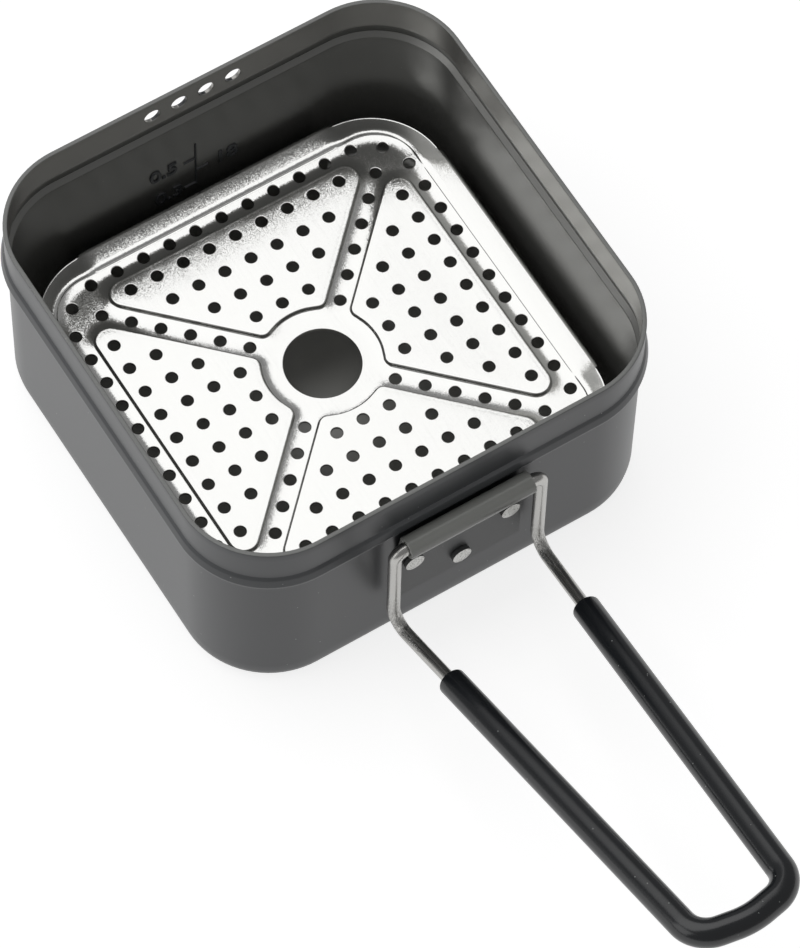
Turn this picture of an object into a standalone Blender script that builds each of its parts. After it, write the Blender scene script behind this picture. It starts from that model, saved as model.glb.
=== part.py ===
"""Square pot with a perforated steam plate and a folding wire handle.

Frame: +Z up, origin at the middle of the pot's underside, handle towards -Y,
pouring holes in the wall at +Y. Every length is in metres.
"""
from math import acos, atan2, cos, pi, radians, sin, sqrt, tan

import bmesh
import bpy
from mathutils import Vector

MM = 0.001

# Pot: a drawn square shell with a bead under its rim
POT_SIDE = 130.0 * MM
POT_HEIGHT = 69.5 * MM
POT_CORNER_RADIUS = 24.0 * MM
POT_FLOOR_RADIUS = 5.5 * MM
POT_WALL = 1.2 * MM
RIM_BAND_HEIGHT = 11.8 * MM
BEAD_HEIGHT = 5.5 * MM
BEAD_REACH = 1.7 * MM
CORNER_STEPS = 8
BEAD_STEPS = 6
FLOOR_STEPS = 4

# Pouring holes in the rim band at the back
POUR_HOLES = 4
POUR_HOLE_PITCH = 8.0 * MM
POUR_HOLE_DIAMETER = 4.5 * MM
POUR_HOLE_DEPTH = 5.8 * MM

# Hinge bracket: a flat leaf whose top is rolled round the wire
SHEET = 1.0 * MM
CLEARANCE = 0.3 * MM
BRACKET_WIDTH = 36.6 * MM
LEAF_BOTTOM = 19.0 * MM
LEAF_TOP = 44.5 * MM
HINGE_Y = -69.5 * MM
HINGE_Z = 51.0 * MM
CURL_START = radians(-8.0)
CURL_END = radians(250.0)
CURL_STEPS = 16

# Rivets through the bracket and the wall
RIVET_SPREAD = 14.2 * MM
RIVET_HIGH = 36.2 * MM
RIVET_LOW = 26.0 * MM
RIVET_HEAD_DIAMETER = 5.5 * MM
RIVET_HEAD_HEIGHT = 1.2 * MM
RIVET_SHANK_DIAMETER = 3.0 * MM
RIVET_TAIL_DIAMETER = 5.0 * MM
RIVET_TAIL_HEIGHT = 0.8 * MM
RIVET_EDGE = 0.3 * MM
RIVET_STEPS = 16

# Handle: one bent wire whose two ends meet inside the bracket
WIRE_DIAMETER = 3.5 * MM
WIRE_END_GAP = 4.0 * MM
ARM_SPREAD = 21.5 * MM
ARM_BOTTOM = 15.5 * MM
ARM_BEND_RADIUS = 3.0 * MM
KINK_RADIUS = 5.0 * MM
GRIP_RISE = radians(15.3)
GRIP_TAPER = radians(3.5)
GRIP_LENGTH = 125.3 * MM
GRIP_CORNER_RADIUS = 7.8 * MM
GRIP_END_BOW = 2.9 * MM
GRIP_END_RADIUS = 20.0 * MM
BEND_STEPS = 6

# Sleeve: a tube pushed over the grip
SLEEVE_DIAMETER = 7.5 * MM
SLEEVE_START = 25.0 * MM

# Steam plate: a pressed sheet with four bent skirts as feet
PLATE_TOP = 23.4 * MM
PLATE_SHEET = 0.6 * MM
PRESS_DEPTH = 1.2 * MM
PRESS_SLOPE = 0.8 * MM
FLANGE_HALF = 59.0 * MM
FLANGE_CORNER_RADIUS = 21.0 * MM
SKIRT_BOTTOM = 1.6 * MM
SKIRT_BEND = 1.3 * MM
SKIRT_BEND_RUNS = ((0.6, 0.2), (0.4, 0.8))
TROUGH_HALF = 53.3 * MM
TROUGH_CORNER_RADIUS = 12.3 * MM
PAD_OUTER = 47.8 * MM
PAD_CORNER_RADIUS = 4.0 * MM
PAD_CORNER_STEPS = 4
PAD_ROOT_RADIUS = 2.6 * MM
PAD_ROOT_STEPS = 3
CHANNEL_HALF = 3.3 * MM
RING_RADIUS = 16.0 * MM
RING_STEPS = 6
CENTRE_HOLE_DIAMETER = 20.4 * MM
CENTRE_HOLE_STEPS = 32

# Perforation of the steam plate
HOLE_PITCH = 7.9 * MM
HOLE_DIAMETER = 3.2 * MM
HOLE_STEPS = 8
PAD_FIRST_ROW = 43.7 * MM
PAD_ROWS = (9, 7, 5, 3)
TROUGH_ROW = 50.6 * MM
TROUGH_HOLES = 11
CHANNEL_FIRST_HOLE = 19.3 * MM
CHANNEL_HOLES = 7

# Finishes: linear colour, roughness and metallic value
ANODISED_POT = ("hard anodised aluminium", (0.085, 0.088, 0.090), 0.42, 0.6)
ANODISED_SHEET = ("anodised aluminium sheet", (0.095, 0.094, 0.088), 0.38, 0.6)
BARE_ALUMINIUM = ("bare aluminium", (0.62, 0.62, 0.61), 0.35, 1.0)
STAINLESS_WIRE = ("stainless wire", (0.58, 0.57, 0.55), 0.25, 1.0)
BRIGHT_STAINLESS = ("bright stainless sheet", (0.72, 0.72, 0.71), 0.2, 1.0)
BLACK_SILICONE = ("black silicone", (0.012, 0.013, 0.014), 0.5, 0.0)

# Meshing
SMOOTH_ANGLE = radians(35.0)
WELD = 0.01 * MM
CUTTER_LENGTH = 12.0 * MM
CUTTER_STEPS = 16
TUBE_RESOLUTION = 3


def clear_scene():
    """Remove every object."""
    for old in list(bpy.data.objects):
        bpy.data.objects.remove(old, do_unlink=True)


def add_collection(name):
    """Add a collection to the scene."""
    group = bpy.data.collections.new(name)
    bpy.context.scene.collection.children.link(group)
    return group


def add_material(name, colour, roughness, metallic):
    """Make a Principled material."""
    material = bpy.data.materials.new(name)
    material.use_nodes = True
    shader = material.node_tree.nodes["Principled BSDF"]
    shader.inputs["Base Color"].default_value = (*colour, 1.0)
    shader.inputs["Roughness"].default_value = roughness
    shader.inputs["Metallic"].default_value = metallic
    return material


def add_object(group, name, data, material=None, parent=None):
    """Link an object that holds the given data."""
    item = bpy.data.objects.new(name, data)
    group.objects.link(item)
    item.parent = parent
    if material:
        data.materials.append(material)
    return item


def finish_mesh(bm, name):
    """Turn a bmesh into a mesh, smooth where its faces meet gently."""
    mesh = bpy.data.meshes.new(name)
    bm.to_mesh(mesh)
    bm.free()
    mesh.shade_smooth()
    mesh.set_sharp_from_angle(angle=SMOOTH_ANGLE)
    return mesh


def finish_sheet(bm, name, face, look):
    """Turn an open sheet into a mesh, with the given face looking the given way."""
    bmesh.ops.recalc_face_normals(bm, faces=bm.faces)
    if face.normal.dot(look) < 0.0:
        bmesh.ops.reverse_faces(bm, faces=bm.faces)
    return finish_mesh(bm, name)


def mesh_of_curve(curve, name):
    """Turn a curve's surface into a welded mesh and remove the curve."""
    guide = bpy.data.objects.new("guide", curve)
    bpy.context.scene.collection.objects.link(guide)
    bpy.context.view_layer.update()
    evaluated = guide.evaluated_get(bpy.context.evaluated_depsgraph_get())
    raw = bpy.data.meshes.new_from_object(evaluated)
    bm = bmesh.new()
    bm.from_mesh(raw)
    bmesh.ops.remove_doubles(bm, verts=bm.verts, dist=WELD)
    bmesh.ops.recalc_face_normals(bm, faces=bm.faces)
    bpy.data.objects.remove(guide, do_unlink=True)
    bpy.data.meshes.remove(raw)
    return finish_mesh(bm, name)


def poly_curve(name, points, dimensions, cyclic):
    """Make a curve with one straight-sided spline through the points."""
    curve = bpy.data.curves.new(name, "CURVE")
    curve.dimensions = dimensions
    spline = curve.splines.new("POLY")
    spline.points.add(len(points) - 1)
    for slot, point in zip(spline.points, points):
        slot.co = (*Vector(point).to_3d(), 1.0)
    spline.use_cyclic_u = cyclic
    return curve


def corner_arc(before, corner, after, radius, steps):
    """Points of the arc that rounds a corner between two straight runs."""
    to_before = (before - corner).normalized()
    to_after = (after - corner).normalized()
    half = acos(max(-1.0, min(1.0, to_before.dot(to_after)))) / 2.0
    turn = pi - 2.0 * half
    centre = corner + (to_before + to_after).normalized() * radius / sin(half)
    first = corner + to_before * radius / tan(half) - centre
    last = corner + to_after * radius / tan(half) - centre
    points = []
    for step in range(steps + 1):
        share = step / steps
        swing = first * sin((1.0 - share) * turn) + last * sin(share * turn)
        points.append(centre + swing / sin(turn))
    return points


def rounded_run(corners, radii, steps):
    """An open run of straight stretches whose inner corners are rounded."""
    points = [corners[0]]
    for index, radius in enumerate(radii, start=1):
        points += corner_arc(*corners[index - 1:index + 2], radius, steps)
    points.append(corners[-1])
    return points


def rounded_square(half, radius, steps):
    """Outline of a square with round corners, counterclockwise."""
    points = []
    for quarter in range(4):
        start = quarter * pi / 2.0
        middle = start + pi / 4.0
        reach = (half - radius) * sqrt(2.0)
        centre = Vector((reach * cos(middle), reach * sin(middle)))
        for step in range(steps + 1):
            angle = start + step / steps * pi / 2.0
            points.append(centre + radius * Vector((cos(angle), sin(angle))))
    return points


def circle(centre, radius, steps):
    """Outline of a circle, counterclockwise."""
    points = []
    for step in range(steps):
        angle = 2.0 * pi * step / steps
        points.append(Vector(centre) + radius * Vector((cos(angle), sin(angle))))
    return points


def add_drill(group, name, diameter, place):
    """Add a hidden cylinder that drills through a wall along Y."""
    bm = bmesh.new()
    bmesh.ops.create_cone(bm, cap_ends=True, segments=CUTTER_STEPS, radius1=diameter / 2.0,
                          radius2=diameter / 2.0, depth=CUTTER_LENGTH)
    drill = add_object(group, name, finish_mesh(bm, name))
    drill.location = place
    drill.rotation_euler = (radians(90.0), 0.0, 0.0)
    hide_cutter(drill)
    return drill


def hide_cutter(cutter):
    """Keep a cutter out of the finished object."""
    cutter.hide_render = True
    cutter.display_type = "WIRE"


def cut(item, cutter):
    """Take a cutter's shape out of an object."""
    boolean = item.modifiers.new(cutter.name, "BOOLEAN")
    boolean.operation = "DIFFERENCE"
    boolean.object = cutter


def thicken(item, thickness):
    """Give an open sheet its thickness on the inner side."""
    solidify = item.modifiers.new("sheet", "SOLIDIFY")
    solidify.thickness = thickness
    solidify.offset = -1.0
    solidify.use_even_offset = True


def rivet_places():
    """Names and places (x, z) of the rivets."""
    return (("left", -RIVET_SPREAD, RIVET_HIGH),
            ("middle", 0.0, RIVET_LOW),
            ("right", RIVET_SPREAD, RIVET_HIGH))


def pot_profile():
    """Side profile from rim to floor: offset from the wall line, and height."""
    points = [Vector((0.0, POT_HEIGHT))]
    bead_radius = ((BEAD_HEIGHT / 2.0) ** 2 + BEAD_REACH ** 2) / (2.0 * BEAD_REACH)
    bead_middle = POT_HEIGHT - RIM_BAND_HEIGHT - BEAD_HEIGHT / 2.0
    swing = atan2(BEAD_HEIGHT / 2.0, bead_radius - BEAD_REACH)
    for step in range(BEAD_STEPS + 1):
        angle = swing * (1.0 - 2.0 * step / BEAD_STEPS)
        out = BEAD_REACH - bead_radius * (1.0 - cos(angle))
        points.append(Vector((out, bead_middle + bead_radius * sin(angle))))
    for step in range(FLOOR_STEPS + 1):
        angle = step / FLOOR_STEPS * pi / 2.0
        inward = POT_FLOOR_RADIUS * (1.0 - cos(angle))
        points.append(Vector((-inward, POT_FLOOR_RADIUS * (1.0 - sin(angle)))))
    return points


def add_rivet_drills(cutters):
    """Drills for the rivets' holes, through the bracket's leaf and the wall."""
    diameter = RIVET_SHANK_DIAMETER + 2.0 * CLEARANCE
    return [add_drill(cutters, f"rivet_hole_{name}", diameter, (x, -POT_SIDE / 2.0, z))
            for name, x, z in rivet_places()]


def build_pot(parts, cutters, rivet_drills):
    """The shell: its profile swept round the square, with a flat floor."""
    profile = poly_curve("pot_profile", [(-p.x, p.y) for p in pot_profile()], "2D", False)
    profile_guide = add_object(cutters, "pot_profile", profile)
    square = rounded_square(POT_SIDE / 2.0, POT_CORNER_RADIUS, CORNER_STEPS)
    path = poly_curve("pot_path", square, "2D", True)
    path.bevel_mode = "OBJECT"
    path.bevel_object = profile_guide
    wall = mesh_of_curve(path, "pot_wall")
    bpy.data.objects.remove(profile_guide, do_unlink=True)

    bm = bmesh.new()
    bm.from_mesh(wall)
    bpy.data.meshes.remove(wall)
    low = [e for e in bm.edges if e.is_boundary and max(v.co.z for v in e.verts) < WELD]
    floor = bmesh.ops.edgeloop_fill(bm, edges=low)["faces"][0]
    mesh = finish_sheet(bm, "pot_body", floor, Vector((0.0, 0.0, -1.0)))

    pot = add_object(parts, "pot_body", mesh, add_material(*ANODISED_POT))
    thicken(pot, POT_WALL)
    for index in range(POUR_HOLES):
        across = (index - (POUR_HOLES - 1) / 2.0) * POUR_HOLE_PITCH
        place = (across, POT_SIDE / 2.0, POT_HEIGHT - POUR_HOLE_DEPTH)
        cut(pot, add_drill(cutters, f"pour_hole_{index + 1}", POUR_HOLE_DIAMETER, place))
    for drill in rivet_drills:
        cut(pot, drill)


def bracket_outline():
    """Section of the bracket across the hinge (y, z): leaf, joggle and curl."""
    leaf_y = -POT_SIDE / 2.0 - CLEARANCE - SHEET / 2.0
    middle_radius = WIRE_DIAMETER / 2.0 + CLEARANCE + SHEET / 2.0
    middle = [Vector((leaf_y, LEAF_BOTTOM)), Vector((leaf_y, LEAF_TOP))]
    for step in range(CURL_STEPS + 1):
        angle = CURL_START + (CURL_END - CURL_START) * step / CURL_STEPS
        middle.append(Vector((HINGE_Y + middle_radius * cos(angle),
                              HINGE_Z + middle_radius * sin(angle))))
    left, right = [], []
    for index, point in enumerate(middle):
        before = middle[max(index - 1, 0)]
        after = middle[min(index + 1, len(middle) - 1)]
        along = (after - before).normalized()
        across = Vector((-along.y, along.x)) * SHEET / 2.0
        left.append(point + across)
        right.append(point - across)
    return left + right[::-1]


def build_bracket(parts, rivet_drills):
    """The hinge bracket, extruded across the pot."""
    section = poly_curve("bracket_section", bracket_outline(), "2D", True)
    section.fill_mode = "BOTH"
    section.extrude = BRACKET_WIDTH / 2.0
    mesh = mesh_of_curve(section, "hinge_bracket")
    bracket = add_object(parts, "hinge_bracket", mesh, add_material(*ANODISED_SHEET))
    bracket.rotation_euler = (radians(90.0), 0.0, radians(90.0))
    for drill in rivet_drills:
        cut(bracket, drill)


def build_rivets(parts):
    """Turned rivets: a flat head outside, a shank and a flattened tail inside."""
    head = RIVET_HEAD_DIAMETER / 2.0
    shank = RIVET_SHANK_DIAMETER / 2.0
    tail = RIVET_TAIL_DIAMETER / 2.0
    head_low = SHEET + 2.0 * CLEARANCE
    head_top = head_low + RIVET_HEAD_HEIGHT
    tail_top = -POT_WALL - CLEARANCE
    tail_low = tail_top - RIVET_TAIL_HEIGHT
    profile = [(0.0, head_top), (head - RIVET_EDGE, head_top), (head, head_top - RIVET_EDGE),
               (head, head_low), (shank, head_low), (shank, tail_top), (tail, tail_top),
               (tail, tail_low + RIVET_EDGE), (tail - RIVET_EDGE, tail_low), (0.0, tail_low)]
    material = add_material(*BARE_ALUMINIUM)
    for name, x, z in rivet_places():
        bm = bmesh.new()
        points = [bm.verts.new((radius, 0.0, height)) for radius, height in profile]
        for upper, lower in zip(points, points[1:]):
            bm.edges.new((upper, lower))
        mesh = bpy.data.meshes.new(f"rivet_{name}")
        bm.to_mesh(mesh)
        bm.free()
        rivet = add_object(parts, f"rivet_{name}", mesh, material)
        rivet.location = (x, -POT_SIDE / 2.0, z)
        rivet.rotation_euler = (radians(90.0), 0.0, 0.0)
        screw = rivet.modifiers.new("turned", "SCREW")
        screw.steps = RIVET_STEPS
        screw.render_steps = RIVET_STEPS
        screw.use_merge_vertices = True
        screw.merge_threshold = WELD


def grip_point(distance, side):
    """A point of the grip, from the hinge: left (-1), right (1) or in the middle (0)."""
    across = ARM_SPREAD - distance * tan(GRIP_TAPER)
    height = ARM_BOTTOM - HINGE_Z + distance * tan(GRIP_RISE)
    return Vector((side * across, -distance, height))


def wire_corners():
    """Corners and bend radii of the whole wire, from its left end to its right."""
    half = [(Vector((WIRE_END_GAP, 0.0, 0.0)), None),
            (Vector((ARM_SPREAD, 0.0, 0.0)), ARM_BEND_RADIUS),
            (grip_point(0.0, 1.0), KINK_RADIUS),
            (grip_point(GRIP_LENGTH, 1.0), GRIP_CORNER_RADIUS)]
    tip = grip_point(GRIP_LENGTH + GRIP_END_BOW, 0.0)
    left = [Vector((-point.x, point.y, point.z)) for point, _ in half]
    right = [point for point, _ in half]
    bends = [radius for _, radius in half[1:]]
    return left + [tip] + right[::-1], bends + [GRIP_END_RADIUS] + bends[::-1]


def sleeve_corners():
    """Corners and bend radii of the stretch of wire that the sleeve covers."""
    corners, radii = wire_corners()
    corners[2] = grip_point(SLEEVE_START, -1.0)
    corners[6] = grip_point(SLEEVE_START, 1.0)
    return corners[2:7], radii[2:5]


def tube(name, corners, radii, diameter):
    """A closed round tube along a rounded run."""
    curve = poly_curve(name, rounded_run(corners, radii, BEND_STEPS), "3D", False)
    curve.bevel_depth = diameter / 2.0
    curve.bevel_resolution = TUBE_RESOLUTION
    curve.use_fill_caps = True
    return mesh_of_curve(curve, name)


def build_handle(parts, cutters):
    """The wire and its sleeve, on an empty at the hinge axis."""
    hinge = add_object(parts, "handle_hinge", None)
    hinge.location = (0.0, HINGE_Y, HINGE_Z)
    wire = tube("handle_wire", *wire_corners(), WIRE_DIAMETER)
    add_object(parts, "handle_wire", wire, add_material(*STAINLESS_WIRE), hinge)

    corners, radii = sleeve_corners()
    skin = tube("handle_sleeve", corners, radii, SLEEVE_DIAMETER)
    sleeve = add_object(parts, "handle_sleeve", skin, add_material(*BLACK_SILICONE), hinge)
    past_left = corners[0] + (corners[0] - corners[1]).normalized() * SLEEVE_DIAMETER
    past_right = corners[-1] + (corners[-1] - corners[-2]).normalized() * SLEEVE_DIAMETER
    bore_run = [past_left, *corners[1:-1], past_right]
    hollow = tube("sleeve_bore", bore_run, radii, WIRE_DIAMETER + 2.0 * CLEARANCE)
    bore = add_object(cutters, "sleeve_bore", hollow, None, hinge)
    hide_cutter(bore)
    cut(sleeve, bore)


def pad_outline(grow):
    """Outline of the pad at +Y, larger all round by the given amount."""
    outer = PAD_OUTER + grow
    spread = (CHANNEL_HALF - grow) * sqrt(2.0)
    ring = RING_RADIUS - grow
    root_x = (sqrt(2.0 * ring ** 2 - spread ** 2) - spread) / 2.0
    root = atan2(root_x + spread, root_x)
    inner = []
    for step in range(RING_STEPS + 1):
        angle = pi - root + (2.0 * root - pi) * step / RING_STEPS
        inner.append(ring * Vector((cos(angle), sin(angle))))
    outer_left = Vector((spread - outer, outer))
    outer_right = Vector((outer - spread, outer))
    corner = PAD_CORNER_RADIUS + grow
    root_corner = PAD_ROOT_RADIUS + grow
    points = corner_arc(inner[-1], outer_right, outer_left, corner, PAD_CORNER_STEPS)
    points += corner_arc(outer_right, outer_left, inner[0], corner, PAD_CORNER_STEPS)
    points += corner_arc(outer_left, inner[0], inner[1], root_corner, PAD_ROOT_STEPS)
    points += inner[2:-2]
    points += corner_arc(inner[-2], inner[-1], outer_right, root_corner, PAD_ROOT_STEPS)
    return points


def turned(points, quarter):
    """Points turned about the middle by quarter turns."""
    angle = quarter * pi / 2.0
    return [Vector((p.x * cos(angle) - p.y * sin(angle),
                    p.x * sin(angle) + p.y * cos(angle))) for p in points]


def pad_holes():
    """Centres of the holes of the pad at +Y."""
    centres = []
    for row, count in enumerate(PAD_ROWS):
        for index in range(count):
            across = (index - (count - 1) / 2.0) * HOLE_PITCH
            centres.append(Vector((across, PAD_FIRST_ROW - row * HOLE_PITCH)))
    return centres


def trough_holes():
    """Centres of one quarter of the holes in the pressed trough and channels."""
    centres = []
    for index in range(TROUGH_HOLES):
        across = (index - (TROUGH_HOLES - 1) / 2.0) * HOLE_PITCH
        centres.append(Vector((across, TROUGH_ROW)))
    for index in range(CHANNEL_HOLES):
        reach = (CHANNEL_FIRST_HOLE + index * HOLE_PITCH) / sqrt(2.0)
        centres.append(Vector((reach, reach)))
    return centres


def add_loop(bm, points, height):
    """Add a closed loop of edges at a height."""
    corners = [bm.verts.new((p.x, p.y, height)) for p in points]
    return [bm.edges.new((a, b)) for a, b in zip(corners, corners[1:] + corners[:1])]


def fill(bm, loops):
    """Fill a flat region between loops with triangles."""
    edges = [edge for loop in loops for edge in loop]
    bmesh.ops.triangle_fill(bm, use_beauty=True, use_dissolve=False, edges=edges)


def add_skirt(bm, flange, quarter):
    """Bend a skirt down from one straight side of the flange, in short runs."""
    out = turned([Vector((0.0, 1.0))], quarter)[0]
    side = max(flange, key=lambda edge: sum(v.co.xy.dot(out) for v in edge.verts))
    runs = [(away * SKIRT_BEND, down * SKIRT_BEND) for away, down in SKIRT_BEND_RUNS]
    runs.append((0.0, PLATE_TOP - SKIRT_BOTTOM - SKIRT_BEND))
    for away, down in runs:
        added = bmesh.ops.extrude_edge_only(bm, edges=[side])["geom"]
        corners = [item for item in added if isinstance(item, bmesh.types.BMVert)]
        side = [item for item in added if isinstance(item, bmesh.types.BMEdge)
                and set(item.verts) == set(corners)][0]
        step = (out * away).to_3d() - Vector((0.0, 0.0, down))
        bmesh.ops.translate(bm, verts=corners, vec=step)


def build_plate(parts):
    """The steam plate: pads and flange at one level, trough and channels below."""
    bm = bmesh.new()
    low = -PRESS_DEPTH
    half_slope = PRESS_SLOPE / 2.0
    hole = HOLE_DIAMETER / 2.0
    floor_loops = [add_loop(bm, circle((0.0, 0.0), CENTRE_HOLE_DIAMETER / 2.0, CENTRE_HOLE_STEPS), low)]
    for quarter in range(4):
        top = add_loop(bm, turned(pad_outline(-half_slope), quarter), 0.0)
        foot = add_loop(bm, turned(pad_outline(half_slope), quarter), low)
        bmesh.ops.bridge_loops(bm, edges=top + foot)
        holes = [add_loop(bm, circle(c, hole, HOLE_STEPS), 0.0) for c in turned(pad_holes(), quarter)]
        fill(bm, [top, *holes])
        floor_loops.append(foot)
        floor_loops += [add_loop(bm, circle(c, hole, HOLE_STEPS), low)
                        for c in turned(trough_holes(), quarter)]
    trough = add_loop(bm, rounded_square(TROUGH_HALF - half_slope, TROUGH_CORNER_RADIUS - half_slope,
                                         CORNER_STEPS), low)
    lip = add_loop(bm, rounded_square(TROUGH_HALF + half_slope, TROUGH_CORNER_RADIUS + half_slope,
                                      CORNER_STEPS), 0.0)
    bmesh.ops.bridge_loops(bm, edges=trough + lip)
    fill(bm, [trough, *floor_loops])
    flange = add_loop(bm, rounded_square(FLANGE_HALF, FLANGE_CORNER_RADIUS, CORNER_STEPS), 0.0)
    fill(bm, [lip, flange])
    for quarter in range(4):
        add_skirt(bm, flange, quarter)

    level = max(bm.faces, key=lambda face: face.calc_center_median().z)
    mesh = finish_sheet(bm, "steam_plate", level, Vector((0.0, 0.0, 1.0)))
    plate = add_object(parts, "steam_plate", mesh, add_material(*BRIGHT_STAINLESS))
    plate.location = (0.0, 0.0, PLATE_TOP)
    thicken(plate, PLATE_SHEET)


def main():
    """Build the pot, its handle and its steam plate."""
    clear_scene()
    parts = add_collection("steaming pot")
    cutters = add_collection("cutters")
    rivet_drills = add_rivet_drills(cutters)
    build_pot(parts, cutters, rivet_drills)
    build_bracket(parts, rivet_drills)
    build_rivets(parts)
    build_handle(parts, cutters)
    build_plate(parts)


main()
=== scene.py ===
"""Looks of a square steaming pot: shell, hinge bracket, rivets, wire handle, grip and steam plate."""
from __future__ import annotations

import logging
from dataclasses import dataclass
from enum import Enum, IntEnum
from math import acos, atan2, ceil, cos, pi, radians, sin, sqrt, tan
from typing import Any, Mapping, Sequence

import bmesh
import bpy
import numpy as np
from mathutils import Matrix, Vector
from mathutils.geometry import delaunay_2d_cdt


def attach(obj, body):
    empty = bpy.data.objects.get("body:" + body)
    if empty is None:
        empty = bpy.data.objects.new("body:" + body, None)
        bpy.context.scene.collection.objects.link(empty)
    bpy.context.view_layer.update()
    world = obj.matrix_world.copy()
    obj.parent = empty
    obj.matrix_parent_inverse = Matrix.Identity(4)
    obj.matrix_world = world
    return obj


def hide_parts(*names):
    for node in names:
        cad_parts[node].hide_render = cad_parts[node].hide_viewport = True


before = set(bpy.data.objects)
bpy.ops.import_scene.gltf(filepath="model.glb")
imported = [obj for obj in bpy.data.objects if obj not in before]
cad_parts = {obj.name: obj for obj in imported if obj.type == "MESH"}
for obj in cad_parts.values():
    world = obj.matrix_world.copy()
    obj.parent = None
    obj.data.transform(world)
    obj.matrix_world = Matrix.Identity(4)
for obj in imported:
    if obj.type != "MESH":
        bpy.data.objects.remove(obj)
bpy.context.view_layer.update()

MM = 0.001
SHARP_ANGLE = radians(38.0)
# The hinge's axis runs along x through this place
HINGE_Y = -69.5 * MM
HINGE_Z = 51.0 * MM
LOG = logging.getLogger("steaming_pot")

Socket = bpy.types.NodeSocket
Material = bpy.types.Material
Mesh = bpy.types.Mesh
Ring = list[Vector]
Pair = tuple[float, float]
Point = tuple[float, float, float]
Sockets = Mapping[str | int, Any]


class Body(Enum):
    """The moving bodies of the frame."""

    POT = "pot"
    HANDLE = "handle"
    PLATE = "plate"


class Slot(Enum):
    """The record's material slots."""

    POT = "anodised_pot"
    BRACKET = "anodised_sheet"
    RIVET = "bare_aluminium"
    WIRE = "stainless_wire"
    GRIP = "black_silicone"
    PLATE = "bright_stainless"


class Skin(IntEnum):
    """The shell's surfaces, in the order of its materials."""

    OUTSIDE = 0
    RIM = 1
    FLOOR = 2
    WALLS = 3
    BAND = 4


# Node helpers


def linear(colour: str) -> tuple[float, float, float, float]:
    """Turn an sRGB hex value into a linear colour.

    Args:
        colour: Six hex digits after a hash sign.

    Returns:
        Linear red, green, blue and an alpha of one.
    """
    channels = [int(colour[index:index + 2], 16) / 255.0 for index in (1, 3, 5)]
    red, green, blue = (c / 12.92 if c <= 0.04045 else ((c + 0.055) / 1.055) ** 2.4 for c in channels)
    return red, green, blue, 1.0


def per_metre(size_mm: float) -> float:
    """Pattern scale for features of a size in millimetres."""
    return 1.0 / (size_mm * MM)


def fill(tree: bpy.types.NodeTree, node: bpy.types.Node, sockets: Sockets) -> None:
    """Set a node's inputs.

    Args:
        tree: The node's tree.
        node: The node.
        sockets: For each input, a value or the output that is linked to it.
    """
    for key, value in sockets.items():
        if isinstance(value, Socket):
            tree.links.new(value, node.inputs[key])
        else:
            node.inputs[key].default_value = value


def add_node(tree: bpy.types.NodeTree, kind: str, sockets: Sockets | None = None,
             **settings: Any) -> bpy.types.Node:
    """Add a node with its settings and links.

    Args:
        tree: The node tree that takes the node.
        kind: The node's type.
        sockets: For each input, a value or the output that is linked to it.
        settings: Values of the node's own properties.

    Returns:
        The new node.
    """
    node = tree.nodes.new("ShaderNode" + kind)
    for key, value in settings.items():
        setattr(node, key, value)
    fill(tree, node, sockets or {})
    return node


# Finishes


@dataclass(frozen=True)
class Finish:
    """A surface, from what it is made of and how it was made."""

    name: str
    colour: str
    roughness: float
    metallic: float = 0.0
    ior: float = 1.5

    def material(self) -> Material:
        """Build the material.

        Returns:
            A material with the finish's colour, gloss and detail.
        """
        material = bpy.data.materials.new(self.name)
        material.use_nodes = True
        tree = material.node_tree
        plain = {"Base Color": linear(self.colour), "Roughness": self.roughness,
                 "Metallic": self.metallic, "IOR": self.ior}
        for sockets in (plain, self.detail(tree)):
            fill(tree, tree.nodes["Principled BSDF"], sockets)
        return material

    def detail(self, tree: bpy.types.NodeTree) -> Sockets:
        """The shader's inputs that are not plain: none."""
        return {}


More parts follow.
